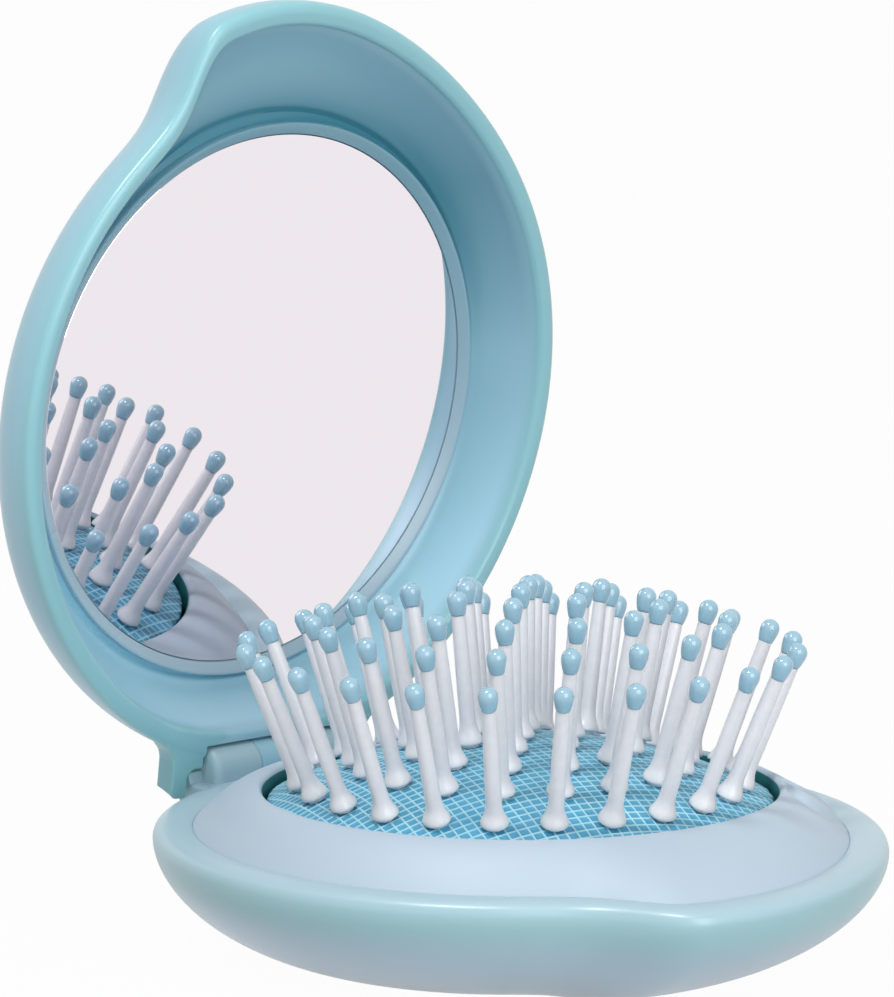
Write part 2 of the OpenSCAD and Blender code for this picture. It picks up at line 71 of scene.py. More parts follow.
def wrapped(degrees):
    """The same direction between -180 and 180 degrees. The 900 is 180 and two whole turns, which keep the sum
    positive."""
    return (degrees + 900) % 360 - 180


def bump(turn, spread):
    """A soft bump that is 1 at turn 0: exp(-(turn / spread) squared)."""
    return np.exp(-(turn / spread) ** 2)


def outline(angle):
    """Distance from the middle at an angle in radians: the circle, plus a wide bump at the hinge and a
    narrower one at the finger tip, each with its own spread on either side."""
    heel, tip = wrapped(np.degrees(angle) - 180), wrapped(np.degrees(angle) - TIP_AT)
    return (ROUND + HEEL_OUT * bump(heel, np.where(heel < 0, *HEEL_SPREADS))
            + TIP_OUT * bump(tip, np.where(tip < 0, *TIP_SPREADS)))


def even_turn(count):
    """Angles of count even steps round a circle."""
    return np.linspace(0, 2 * np.pi, count, endpoint=False)


EVEN = even_turn(480)
AROUND = EVEN - 0.55 * np.sin(EVEN - 0.4)  # closer steps on the side of the tip, where the folds are
print("outline from", round(outline(AROUND).min(), 2), "to", round(outline(AROUND).max(), 2), "mm")

# %% [markdown]
# ## Rings of points
# Nearly every piece here is a stack of rings: rows of points with the same count. A shell's ring follows the
# outline, drawn in by some inset. A round opening or a turned piece has plain circles. Between the two, a
# ring can be a mixture, which is how a wall runs smoothly from the outline to a round hole.

# %% Rings that follow the outline, a circle or both
def at_height(x, y, z):
    """Rows of points from their x and y, with one height for each row."""
    return np.stack([x, y, np.broadcast_to(np.atleast_1d(z)[:, None], x.shape)], -1)


def one_each(*values):
    """The values as arrays of one length, so that each ring has its own number of every kind."""
    return np.broadcast_arrays(*[np.atleast_1d(v).astype(float) for v in values])


def shell_ring(inset, z, lean=0, wide=0):
    """Rings of points: the outline shrunk by the share inset / circle radius, at height z. A lean moves each
    ring toward the hinge by lean * inset, and wide adds to the inset at the hinge alone."""
    inset, z, lean, wide = one_each(inset, z, lean, wide)
    more = wide[:, None] * bump(wrapped(np.degrees(AROUND) - 180), HINGE_SPREAD)
    r = outline(AROUND) * (1 - (inset[:, None] + more) / ROUND)
    return at_height(r * np.cos(AROUND) - (lean * inset)[:, None], r * np.sin(AROUND), z)


def circle_ring(radius, centre, z, angles=AROUND):
    """Rings of points at the given angles, at radius about centre, at height z."""
    radius, z = one_each(radius, z)
    x, y = radius[:, None] * np.cos(angles), radius[:, None] * np.sin(angles)
    return at_height(centre[0] + x, centre[1] + y, z)


def morph_ring(inset, radius, centre, share, z, wide=0):
    """Rings that run from the inset outline (share 0) to a circle about centre (share 1), mixed point by
    point."""
    share = np.atleast_1d(share)[:, None, None]
    start, end = shell_ring(inset, 0, wide=wide), circle_ring(radius, centre, 0)
    mixed = (1 - share) * start + share * end
    return at_height(mixed[..., 0], mixed[..., 1], z)


def dish(share, reach, power):
    """How far in a dished wall lies at this share of its depth: reach * (1 - (1 - share^power)^(1 / power)).
    A power of 2 is a quarter of an ellipse, and a higher one is fuller."""
    return reach * (1 - (1 - share ** power) ** (1 / power))


FLAT_AT = 0.985  # share of a dished wall's depth at which it turns into a flat


def wall_shares(power, start=0.03, count=44):
    """Shares of a dished wall's depth, from just past its rim to the flat, closer together where the wall
    bends more: sin(angle)^(2 / power) for even angles from start."""
    return np.sin(np.linspace(start, np.arcsin(FLAT_AT ** (power / 2)), count)) ** (2 / power)


def smooth_line(points, count):
    """A Catmull-Rom curve through the points, sampled count times: each stretch is the cubic whose slopes at
    its ends are half the chord between the neighbours."""
    p = np.asarray(points, float)
    p = np.vstack([2 * p[0] - p[1], p, 2 * p[-1] - p[-2]])
    t = np.linspace(0, len(p) - 3 - 1e-9, count)
    k = t.astype(int)
    u = (t - k)[:, None]
    a, b, c, d = p[k], p[k + 1], p[k + 2], p[k + 3]
    return 0.5 * (2 * b + (c - a) * u + (2 * a - 5 * b + 4 * c - d) * u ** 2
                  + (3 * b - a - 3 * c + d) * u ** 3)


print("a plain ring has", shell_ring(0, 0).shape[1], "points")

# %% [markdown]
# ## From rings to a mesh
# The rings are joined row to row by four-sided faces and closed at both ends by a fan of triangles. One
# helper builds that, with the faces made as whole arrays, and one checks the enclosed volume and turns the
# faces outward. Another joins copies of a small piece at many places, for the bristles.

# %% Rings to mesh, copies to mesh
def stack_faces(rows, count, looped=False):
    """Quads between row i and row i + 1, going round; a looped stack also joins its last row to its first."""
    i, j = np.meshgrid(np.arange(rows if looped else rows - 1), np.arange(count), indexing="ij")
    up, on = (i + 1) % rows, (j + 1) % count
    return np.stack([i * count + j, i * count + on, up * count + on, up * count + j], -1).reshape(-1, 4)


def make_object(name, points, faces, smooth_deg=35):
    """A mesh object from points in millimetres and a list of face arrays, with sharp edges where the surface
    turns by more than smooth_deg."""
    mesh = bpy.data.meshes.new(name)
    sizes = np.concatenate([np.full(len(f), f.shape[1]) for f in faces])
    corners = np.concatenate([f.ravel() for f in faces])
    mesh.vertices.add(len(points))
    mesh.vertices.foreach_set("co", (points * MM).astype(np.float32).ravel())
    mesh.loops.add(len(corners))
    mesh.loops.foreach_set("vertex_index", corners.astype(np.int32))
    mesh.polygons.add(len(sizes))
    mesh.polygons.foreach_set("loop_start", (np.cumsum(sizes) - sizes).astype(np.int32))
    mesh.update(calc_edges=True)
    mesh.validate()
    mesh.shade_smooth()
    mesh.set_sharp_from_angle(angle=np.radians(smooth_deg))
    obj = bpy.data.objects.new(name, mesh)
    bpy.context.scene.collection.objects.link(obj)
    return obj


def outward(points, faces):
    """Turns all faces over if they enclose a negative volume. The volume is the sum of a . (b x c) / 6 over
    the triangles that each face is cut into."""
    volume = 0
    for f in faces:
        for k in range(1, f.shape[1] - 1):
            a, b, c = points[f[:, 0]], points[f[:, k]], points[f[:, k + 1]]
            volume += (a * np.cross(b, c)).sum() / 6
    return (points, faces) if volume > 0 else (points, [f[:, ::-1] for f in faces])


def stack(rings, looped=False, middles=None):
    """Points and outward faces of a stack of rings. Unless it is looped, each end closes on a middle point,
    which is the mean of its ring if none is given."""
    rows, count = rings.shape[:2]
    points = rings.reshape(-1, 3)
    faces = [stack_faces(rows, count, looped)]
    if not looped:
        first, last = len(points), len(points) + 1
        if middles is None:
            middles = [rings[0].mean(0), rings[-1].mean(0)]
        points = np.vstack([points, middles])
        j = np.arange(count)
        on = (j + 1) % count
        top = (rows - 1) * count
        faces.append(np.concatenate([np.stack([on, j, np.full(count, first)], -1),
                                     np.stack([top + j, top + on, np.full(count, last)], -1)]))
    return outward(points, faces)


def copies(points, faces, frames, origins):
    """The piece at many places: each copy's point is origin + x * side + y * front + z * up, where a frame
    holds side, front and up as its rows."""
    placed = np.einsum("pk,nkc->npc", points, frames) + origins[:, None, :]
    step = np.arange(len(origins))[:, None, None] * len(points)
    return placed.reshape(-1, 3), [(f[None] + step).reshape(-1, f.shape[1]) for f in faces]


def read_points(obj):
    """The object's points as an array, in millimetres."""
    co = np.empty(len(obj.data.vertices) * 3, np.float32)
    obj.data.vertices.foreach_get("co", co)
    return co.reshape(-1, 3) / MM


def write_points(obj, points):
    """Puts points in millimetres back into the object's mesh."""
    obj.data.vertices.foreach_set("co", (points * MM).astype(np.float32).ravel())
    obj.data.update()


def count_triangles(*objects):
    """Number of triangles: each face counts its corners less two."""
    total = 0
    for obj in objects:
        corners = np.empty(len(obj.data.polygons), np.int32)
        obj.data.polygons.foreach_get("loop_total", corners)
        total += int((corners - 2).sum())
    return total


print("helpers ready")

# %% [markdown]
# ## Joining and cutting plastic
# A moulded shell has its hinge knuckles grown on in one piece, and a notch where the other shell's knuckle
# turns. Both could be modelled face by face, but a boolean does it exactly: we add the knuckles, take away
# the notch, and keep the result as a plain mesh, so nothing depends on the helper shapes any more.

# %% Add and cut helpers
def carve(obj, add=(), cut=(), smooth_deg=35):
    """Adds the shapes in add, then takes away those in cut, and removes the helper shapes."""
    for others, how in ((add, "UNION"), (cut, "DIFFERENCE")):
        for other in others:
            step = obj.modifiers.new(how.lower(), "BOOLEAN")
            step.operation, step.solver, step.object = how, "MANIFOLD", other
            bpy.context.view_layer.update()
            mesh = bpy.data.meshes.new_from_object(obj.evaluated_get(bpy.context.evaluated_depsgraph_get()))
            obj.modifiers.clear()
            old, obj.data = obj.data, mesh
            bpy.data.meshes.remove(old)
            used = other.data
            bpy.data.objects.remove(other)
            bpy.data.meshes.remove(used)
    obj.data.name = obj.name
    obj.data.shade_smooth()
    obj.data.set_sharp_from_angle(angle=np.radians(smooth_deg))
    return obj


def helper(rings, middles=None):
    """A shape to add or to cut with."""
    return make_object("helper", *stack(rings, middles=middles))


def along_hinge(x, y, z):
    """Rows of points from their x and z, measured from the hinge's axis, with one y for each row."""
    return np.stack([HINGE[0] + x, np.broadcast_to(np.asarray(y)[:, None], x.shape), HINGE[2] + z], -1)


def bar_on_hinge(radii, along, shift=0.0):
    """A round bar about the hinge's axis: radius radii[i] at the distance along[i] on Y. Its points start
    shift steps round, so that the edges of a bar and of a cutter never run along each other."""
    steps = 96
    a = 2 * np.pi * (np.arange(steps) + shift) / steps
    radii = np.asarray(radii, float)[:, None]
    return helper(along_hinge(radii * np.sin(a), along, radii * np.cos(a)))


def block(x, y, z):
    """A box between the given limits, as two rings of four points."""
    low = np.array([[x[0], y[0]], [x[1], y[0]], [x[1], y[1]], [x[0], y[1]]], float)
    return helper(np.stack([np.column_stack([low, np.full(4, h)]) for h in z]))


def drawn_in(line, amount):
    """A closed polygon, listed anticlockwise, with each side moved in by amount: a corner moves against the
    sum of its sides' outward normals, divided by 1 + their product."""
    side = np.roll(line, -1, 0) - line
    normal = np.column_stack([side[:, 1], -side[:, 0]]) / np.linalg.norm(side, axis=1)[:, None]
    before = np.roll(normal, 1, 0)
    return line - amount * (normal + before) / (1 + (normal * before).sum(1))[:, None]


print("carving helpers ready")

# %% [markdown]
# ## The base shell
# The base is an ABS bowl with a flat bottom, a rolled rim and a ledge that carries the brush frame. Its wall
# is a quarter of a rounded oval that leans a little toward the hinge, so the flat underside sits back from
# the finger tip. The rim is a smooth line through the rounding. Each point of the profile is an inset from
# the outline and a height.

# %% Build the bowl
BOWL_REACH, BOWL_POWER = 23.2, 1.8  # how far in the bowl's wall runs, and how full it is
BOWL_TOP = 13.0  # height of the wall, where the rim begins
BASE_LEAN = 5 / BOWL_REACH  # the flat underside sits 5 mm back
BASE_WALL = 1.1
INSIDE_FROM = 0.36  # share of the depth at which the inner wall starts, under the ledge
FRAME_IN = 4.1  # inset at which the brush frame meets the rim


def bowl_line(share):
    """Inset and height of the bowl's outside at these shares of its depth."""
    return np.column_stack([dish(share, BOWL_REACH, BOWL_POWER), BOWL_TOP - BOWL_TOP / FLAT_AT * share])


outside = bowl_line(wall_shares(BOWL_POWER)[::-1])
rim = smooth_line([(0, BOWL_TOP), (0.07, 13.4), (0.29, 13.88), (0.84, 14.31), (1.54, 14.54), (2.2, RIM_Z),
                   (3.2, 14.47), (3.8, 14.28), (4.06, 14.16), (FRAME_IN, 14.05)], 30)
ledge = [(FRAME_IN, 13.0), (4.2, 12.9), (6.0, 12.9), (6.0, 12.0)]
inside = bowl_line(np.linspace(INSIDE_FROM, FLAT_AT, 18))
slope = np.gradient(inside, axis=0)
inside += BASE_WALL * np.column_stack([-slope[:, 1], slope[:, 0]]) / np.linalg.norm(slope, axis=1)[:, None]
inside[-1, 1] = BASE_WALL
profile = np.vstack([outside, rim, ledge, inside])
lean = np.repeat([BASE_LEAN, 0, BASE_LEAN], [len(outside), len(rim) + len(ledge), len(inside)])
base = make_object("base_shell_moulded", *stack(shell_ring(*profile.T, lean)))
print("bowl:", count_triangles(base), "triangles")

# %% [markdown]
# ## The knuckles of the base
# On the hinge side stand two knuckles with softly rounded ends, each on a foot that runs down into the wall.
# A notch between them leaves room for the lid's middle knuckle, and a bore through both holds the steel pin.
# The foot is drawn as seen along the hinge, with a low toe that reaches a little further out.

# %% Add the knuckles and cut the notch
KNUCKLE_R = 2.9
KNUCKLE_FROM, KNUCKLE_TO = 2.95, 9.5  # the notch takes the inner 0.1 mm, so no two cut faces share a plane
KNUCKLE_EDGE = 1.0  # rounding of the outer ends
NOTCH_R, NOTCH_HALF = 3.3, 3.05  # room round the lid's middle knuckle, and half its length
PIN_R, PIN_HALF = 1.2, 8.4  # the bore for the pin: radius, and half its length
TOE_TO, TOE_EDGE = 11.4, 0.4  # where a toe ends, and the rounding of its end
QUARTER = np.linspace(0, np.pi / 2, 9)  # angles of a quarter turn, for rounded ends
# A foot as seen along the hinge, measured from the axis: toward the middle of the brush, and up.
HEEL = np.array([(-2.6, -1.2), (-1.5, -4), (1.8, -5.4), (2.9, -3.5), (2.9, 0), (0, 0)])
TOE = np.array([(-2.4, -1.2), (-1.45, -3.95), (1.8, -5.35), (2.87, -3.5), (2.87, -1.1), (0.4, -1.1),
                (0.05, 0.1), (-1.6, 0.1)])


def knuckle(side):
    """A knuckle of the base on this side of the middle: a bar with a rounded outer end."""
    radii = np.append(KNUCKLE_R, KNUCKLE_R - KNUCKLE_EDGE * (1 - np.cos(QUARTER)))
    along = np.append(KNUCKLE_FROM, KNUCKLE_TO - KNUCKLE_EDGE * (1 - np.sin(QUARTER)))
    return bar_on_hinge(radii, side * along)


def foot(side, line, end, bevel):
    """The foot of a knuckle, from its outline seen along the hinge. It runs from the notch to end, where it
    is rounded by bevel, and down into the wall."""
    inset = np.append(0, bevel * (1 - np.cos(QUARTER)))
    along = np.append(KNUCKLE_FROM, end - bevel + bevel * np.sin(QUARTER))
    seen = np.stack([drawn_in(line, d) for d in inset])
    return helper(along_hinge(seen[..., 0], side * along, seen[..., 1]))


knuckles = [knuckle(1), knuckle(-1)]
feet = [foot(side, *shape) for side in (1, -1)
        for shape in ((HEEL, KNUCKLE_TO, KNUCKLE_EDGE), (TOE, TOE_TO, TOE_EDGE))]
notch = bar_on_hinge([NOTCH_R, NOTCH_R], [-NOTCH_HALF, NOTCH_HALF], 0.5)
bore = bar_on_hinge([PIN_R, PIN_R], [-PIN_HALF, PIN_HALF], 0.25)
carve(base, add=knuckles + feet, cut=[notch, bore])
print("base shell:", count_triangles(base), "triangles")

# %% [markdown]
# ## The brush frame
# A paler ring fills the base from its rim up to the round opening, where it stands up as a lip and turns down
# into a guide tube. It starts level with the rim, so that only a soft crease parts the two mouldings. On the
# side of the finger tip two soft folds run from the lip out to the rim, as in draped cloth. Each is a shallow
# groove along a curved line, and both die away at the lip and at the rim.

# %% Build the brush frame
PAD_Y = -0.5  # the opening and the cushion sit this far off the middle
LIP_R, LIP_Z = 28.1, 18.9  # the crest of the lip round the opening
LIP_BEND = 0.6  # radius of the lip's rounding, and half the tube's wall
FRAME_Z = 14.1  # where the frame starts at the rim
TUBE_LOW = 5.5  # lower end of the guide tube


def folds(angle, share):
    """Relief of the folds in millimetres, from the rim (share 0) to the lip (share 1). One groove runs at 48
    degrees and swings to 58 at the lip, the other bows from 50 through 38 to 46. The ground between them is
    raised a little, and beside them, about 75 degrees round, the frame is hollowed by up to 0.8. The factors
    4 and 6.75 bring the largest value of each fade to 1."""
    a, s = np.degrees(angle)[None, :], share[:, None]
    one = 48 + 110 * np.clip(s - 0.7, 0, 1) ** 2
    two = 38 + 40 * (s - 0.55) ** 2
    waves = ((0.5, (one + two) / 2, 2.8), (-0.66, one, 1.9), (-0.66, two, 2.1), (0.36, one + 5, 3.5),
             (-0.2, two - 13, 6))
    relief = sum(height * bump(wrapped(a - line), spread) for height, line, spread in waves)
    hollow = 0.8 * bump(wrapped(a - 75), 27) * s ** 2 * (1 - s) * 6.75
    return relief * (s * (1 - s) * 4) ** 0.6 - hollow


share = np.concatenate([np.linspace(0, 0.1, 8)[:-1], np.linspace(0.1, 1, 46)])
rise = (LIP_Z - FRAME_Z) * (1 - (1 - share) ** 1.75)
upper = morph_ring(FRAME_IN, LIP_R, (0, PAD_Y), share, FRAME_Z + rise)
upper[0, :, 2] -= 0.03  # the first ring sinks into the crease
upper[..., 2] += folds(AROUND, share)
bend = np.linspace(np.pi / 2, np.pi, 12)[1:]
lip = circle_ring(LIP_R + LIP_BEND * np.cos(bend), (0, PAD_Y), LIP_Z - LIP_BEND + LIP_BEND * np.sin(bend))
tube_radii = LIP_R + LIP_BEND * np.array([-1, -1, 1, 1])
tube = circle_ring(tube_radii, (0, PAD_Y), [12.0, TUBE_LOW, TUBE_LOW, 15.5])
under = morph_ring(FRAME_IN, LIP_R + LIP_BEND, (0, PAD_Y), [0.9, 0.5, 0.1, 0], [16.6, 15.6, 13.2, 12.95])
bezel = make_object("brush_frame_moulded", *stack(np.concatenate([upper, lip, tube, under]), looped=True))
lever_slot = block((-33.3, -23.3), (-4.9, 4.9), (0, 7.2))
carve(bezel, cut=[lever_slot])
print("brush frame:", count_triangles(bezel), "triangles")

# %% [markdown]
# ## The lid shell
# The lid is the same outline turned over: a dished back, a rolled rim with a crisp inner edge, and a concave
# wall that falls to a groove round the seat of the mirror. At the hinge its rim is wider. We build it shut
# over the base, where its formula is simple.

# %% Build the lid's bowl
LID_Z = 15.6  # height of the shut lid's outer edge
LID_REACH, LID_POWER = 11.5, 2.3  # how far in the lid's back runs, and how full it is
LID_DEPTH = 10.2  # how high the back stands over the edge
LID_LEAN = 7 / LID_REACH  # the flat of the back sits 7 mm toward the hinge
RIM_IN, RIM_WIDER = 2.2, 1.6  # inset of the rim's inner edge, and what the hinge adds to it
WALL_FALL, GROOVE = 7.6, 0.45  # depth of the inner wall, and of the groove at its foot
SEAT = np.array([-2.1, 1.0])  # middle of the mirror's seat
SEAT_R, GROOVE_R = 30.1, 31.65  # the mirror's pocket, and the foot of the inner wall

share = wall_shares(LID_POWER)
back = shell_ring(dish(share, LID_REACH, LID_POWER), LID_Z + LID_DEPTH / FLAT_AT * share, LID_LEAN)
rim_line = smooth_line([(RIM_IN, LID_Z), (2.15, 15.3), (2.0, 15.0), (1.7, 14.76), (1, RIM_Z), (0.4, 14.8),
                        (0.1, 15.15), (0, LID_Z)], 30)
inset, height = rim_line[1:].T
lid_rim = shell_ring(inset, height, 0, RIM_WIDER * np.clip((inset - 1) / 0.7, 0, 1))
share = np.concatenate([np.linspace(1, 0.1, 40), np.linspace(0.1, 0, 12)[1:]])
fall = WALL_FALL * np.sin(share * np.pi / 2) ** 0.8 + GROOVE * bump(share - 0.93, 0.05)
wall = morph_ring(RIM_IN, GROOVE_R, SEAT, share, LID_Z + fall, RIM_WIDER)
seat = circle_ring([29.0, SEAT_R, SEAT_R, 31.6], SEAT, [24.4, 24.4, 23.2, 23.2])
lid = make_object("lid_shell_moulded", *stack(np.concatenate([seat, wall, lid_rim, back[1:]])))
print("lid's bowl:", count_triangles(lid), "triangles")

# %% [markdown]
# ## The lid's side of the hinge
# The lid turns on a middle knuckle. Two legs pass the ends of the base's knuckles, and a small nose stops the
# lid when it stands open. All of them are added while the lid is shut. Then the finished mesh is turned open
# about the hinge.

# %% Add the hinge parts and open the lid
# A leg as seen along the lid's depth: from the axis toward the middle of the brush, and out along the hinge.
LEG = np.array([(-2.5, 12.0), (-2.5, 13.6), (-1.9, 14.2), (2, 14.2), (2.9, 14.5), (3.9, 15.4), (4.9, 15.2),
                (2.9, 9.8), (0.6, 9.8), (0.6, 11.3), (0, 11.9), (-0.4, 12.0)])[::-1]
LEG_MIDDLE = 1.6, 13  # a point inside that outline
LEG_LOW, LEG_HIGH, LEG_EDGE = 14.8, 17.5, 0.3  # heights of its faces when shut, rounding of their edges


def rounded(corners, count=200, reach=3):
    """A closed polygon as count even points, each the mean of itself and of reach neighbours on each side."""
    closed = np.vstack([corners, corners[:1]])
    length = np.append(0, np.cumsum(np.linalg.norm(np.diff(closed, axis=0), axis=1)))
    at = np.linspace(0, length[-1], count, endpoint=False)
    line = np.column_stack([np.interp(at, length, closed[:, k]) for k in (0, 1)])
    ends = np.vstack([line[-reach:], line, line[:reach]])
    width = 2 * reach + 1
    return np.column_stack([np.convolve(ends[:, k], np.ones(width) / width, "valid") for k in (0, 1)])


def leg(side):
    """A leg, from its outline seen along the lid's depth, with the edges of both faces rounded. Its free end
    slopes by 1.2 mm."""
    turn = np.linspace(0, np.pi / 2, 6)
    amount = LEG_EDGE * np.concatenate([1 - np.sin(turn), 1 - np.cos(turn)])
    z = np.concatenate([LEG_LOW + LEG_EDGE * (1 - np.cos(turn)), LEG_HIGH - LEG_EDGE * (1 - np.sin(turn))])
    line = rounded(LEG)
    seen = np.stack([drawn_in(line, d) for d in amount])
    end = LEG[:, 0].min() + amount + 1.2 * np.clip((z - LID_Z) / (LEG_HIGH - LID_Z), 0, 1)
    x = np.maximum(seen[..., 0], end[:, None])
    return helper(at_height(HINGE[0] + x, side * seen[..., 1], z),
                  middles=[(HINGE[0] + LEG_MIDDLE[0], side * LEG_MIDDLE[1], h) for h in (LEG_LOW, LEG_HIGH)])


def nose():
    """The nose that stops the lid: a short bar along the hinge, oval toward the lid and round outside."""
    turn = even_turn(48)
    x = np.where(np.cos(turn) > 0, 4.0, 1.0) * np.cos(turn) - 3.6
    both_ends = np.ones((2, 1))
    return helper(along_hinge(both_ends * x, [-2.8, 2.8], both_ends * (1.3 + np.sin(turn))))


def opened(points):
    """Turns points of the closed lid about the hinge to where the open lid stands."""
    a = np.radians(-OPEN_DEG)
    x, z = points[..., 0] - HINGE[0], points[..., 2] - HINGE[2]
    return np.stack([HINGE[0] + x * np.cos(a) + z * np.sin(a), points[..., 1],
                     HINGE[2] - x * np.sin(a) + z * np.cos(a)], -1)


notch_half = KNUCKLE_TO + 0.2  # room for both knuckles of the base
carve(lid, cut=[bar_on_hinge([NOTCH_R, NOTCH_R], [-notch_half, notch_half], 0.5)])
middle_knuckle = bar_on_hinge(KNUCKLE_R - np.array([0.15, 0, 0, 0.15]), [-2.85, -2.7, 2.7, 2.85])
neck = block((-41.7, -38.6), (-2.79, 2.79), (LID_Z, 18.35))
bore = bar_on_hinge(PIN_R + np.array([0.05, 0.05]), [-2.9, 2.9], 0.25)
carve(lid, add=[leg(1), leg(-1), middle_knuckle, neck, nose()], cut=[bore])
closed_lid = read_points(lid)
write_points(lid, opened(closed_lid))
print("lid shell:", count_triangles(lid), "triangles")

# %% [markdown]
# ## Mirror and its ring
# The mirror is a 60 mm disc of silvered glass with a narrow ground edge. Round it lies a moulded ring: a
# thin bright outer edge and a face that slopes down to the glass. Both are turned shapes, so a profile of
# radii and depths, carried once round the middle of the seat, makes each of them.

# %% Build the mirror and the ring
def round_seat(line):
    """Rings of a profile of radii and depths about the middle of the seat, opened with the lid."""
    radius, depth = np.array(line).T
    return opened(circle_ring(radius, SEAT, depth, even_turn(256)))


mirror_line = [(29.0, 24.1), (29.95, 24.1), (30.0, 24.05), (30.0, 23.12), (29.97, 23.1)]
ring_line = [(30.12, 23.2), (30.12, 22.98), (30.2, 22.92), (31.0, 22.42), (31.15, 22.34), (31.28, 22.3),
             (31.42, 22.32), (31.5, 22.42), (31.52, 22.6), (31.52, 23.2)]
mirror = make_object("mirror_disc", *stack(round_seat(mirror_line)), smooth_deg=5)
trim_ring = make_object("mirror_ring_turned", *stack(round_seat(ring_line), looped=True))
print("mirror:", count_triangles(mirror), "ring:", count_triangles(trim_ring), "triangles")

# %% [markdown]
# ## The rubber cushion
# The cushion is a moulded rubber sheet, domed like the cap of a ball, with a fine raised grid all over it.
# The grid is real relief here, because it is seen almost edge on, where a painted bump would look flat. Its
# lines are thin and crisp and the cells between them are flat, so the net of points is uneven: close steps on
# the two slopes of a line and none across a cell. The points past the edge are drawn in to the circle.

# %% Build the cushion
PAD_R, PAD_THICK = 26.9, 0.55
EDGE_RING, EDGE_Z = 23.3, 19.2  # distance and height of the outermost ring of bristles on the dome
DOME_R = 61.1  # radius of the ball
DOME_Z = EDGE_Z - DOME_R * np.cos(np.arcsin(EDGE_RING / DOME_R))  # height of the ball's middle
PITCH, RELIEF = 1.13, 0.1  # spacing and height of the raised lines
LINE_STEPS = [-0.13, -0.06, 0.06, 0.13]  # foot and top edge of a line on both sides
GRID_TURN = np.radians(-19)

most = int(PAD_R / PITCH) + 2  # enough lines to pass the edge on both sides
lines = np.arange(-most, most + 1)
steps = (lines[:, None] * PITCH + np.array(LINE_STEPS)).ravel()
raised = np.tile([0.0, 1.0, 1.0, 0.0], len(lines))
gx, gy = np.meshgrid(steps, steps, indexing="ij")
far = np.hypot(gx, gy)
pull = np.where(far > PAD_R, PAD_R / np.maximum(far, 1e-6), 1)
ridge = np.where(far > PAD_R, 0, np.maximum(*np.meshgrid(raised, raised, indexing="ij")))
px = (gx * np.cos(GRID_TURN) - gy * np.sin(GRID_TURN)) * pull
py = (gx * np.sin(GRID_TURN) + gy * np.cos(GRID_TURN)) * pull
pz = DOME_Z + np.sqrt(DOME_R ** 2 - px ** 2 - py ** 2) - RELIEF + RELIEF * ridge
top = np.stack([px, py + PAD_Y, pz], -1).reshape(-1, 3)
n = len(steps)
i, j = np.meshgrid(np.arange(n - 1), np.arange(n - 1), indexing="ij")
quads = np.stack([i * n + j, (i + 1) * n + j, (i + 1) * n + j + 1, i * n + j + 1], -1).reshape(-1, 4)
quads = quads[(far.ravel()[quads] < PAD_R).any(1)]
used, quads = np.unique(quads, return_inverse=True)
quads, top, ridge = quads.reshape(-1, 4), top[used], ridge.ravel()[used]
edges = np.concatenate([quads[:, [k, (k + 1) % 4]] for k in range(4)])
_, first, times = np.unique(edges.min(1) * len(top) + edges.max(1), return_index=True, return_counts=True)
outer = edges[first[times == 1]]  # an edge that only one quad has is on the rim
side = np.column_stack([outer[:, 1], outer[:, 0], outer[:, 0] + len(top), outer[:, 1] + len(top)])
points = np.vstack([top, top - np.array([0, 0, PAD_THICK])])
faces = [np.vstack([quads, quads[:, ::-1] + len(top), side])]
cushion = make_object("cushion_grid", *outward(points, faces), 60)
print("cushion:", count_triangles(cushion), "triangles")

# %% [markdown]
# ## Bristles and tips
# The bristles are moulded nylon pins. Each has a bell-shaped foot that stands just clear of the rubber, and
# under the rubber a flat head that holds it. They stand on five rings of 1, 6, 12, 18 and 24, square to the
# dome, so they fan out. The tip is a coloured ball that narrows down the shaft and ends in a small step. One
# bristle and one tip are turned shapes, and copies of them are joined for each group that moves as one.

# %% Shape of one bristle and one tip
BALL_R, BALL_Z = 1.05, 15.84  # the ball of a tip, and its height over the rubber
COUNTS = (1, 6, 12, 18, 24)  # bristles on each ring
FIRST_DEG = 10  # direction of the first bristle of each ring


def turned(line, count):
    """A turned piece about its own Z, from a profile of radii and heights."""
    radius, z = np.array(line).T
    return stack(circle_ring(radius, (0, 0), z, even_turn(count)))


head = [(1.15, -1.45), (1.2, -1.4), (1.2, -0.82), (1.15, -0.77), (0.68, -0.75), (0.68, -0.1), (0.95, 0.0),
        (0.95, 0.36), (1.36, 0.38)]
bell = smooth_line([(1.46, 0.42), (1.5, 0.54), (1.47, 0.75), (1.38, 1.0), (1.26, 1.25), (1.13, 1.55),
                    (1.01, 1.9), (0.93, 2.3), (0.88, 2.8), (0.86, 3.4), (0.85, 5.5)], 26)
pin_shape = turned([*head, *bell, (0.81, 9.5), (0.74, 14.24)], 16)
drop = [(0.7, 14.28), (0.76, 14.31), (0.82, 14.45), (0.9, 14.77), (0.965, 15.07), (1.015, 15.37),
        (1.045, 15.63)]
turn = np.linspace(0, np.pi / 2 - 0.1, 9)
ball = np.column_stack([BALL_R * np.cos(turn), BALL_Z + BALL_R * np.sin(turn)])
tip_shape = turned([*drop, *ball], 18)


def stand(ring, which):
    """Frames and origins of the bristles of one ring. Ring k stands k quarters of the outermost distance out,
    and its bristles lean out by asin(distance / ball radius)."""
    a = np.radians(FIRST_DEG + np.asarray(which) * 360 / COUNTS[ring])
    lean = np.full(len(a), np.arcsin(EDGE_RING * ring / 4 / DOME_R))
    up = np.stack([np.sin(lean) * np.cos(a), np.sin(lean) * np.sin(a), np.cos(lean)], -1)
    side = np.stack([np.cos(lean) * np.cos(a), np.cos(lean) * np.sin(a), -np.sin(lean)], -1)
    return np.stack([side, np.cross(up, side), up], 1), np.array([0, PAD_Y, DOME_Z]) + DOME_R * up


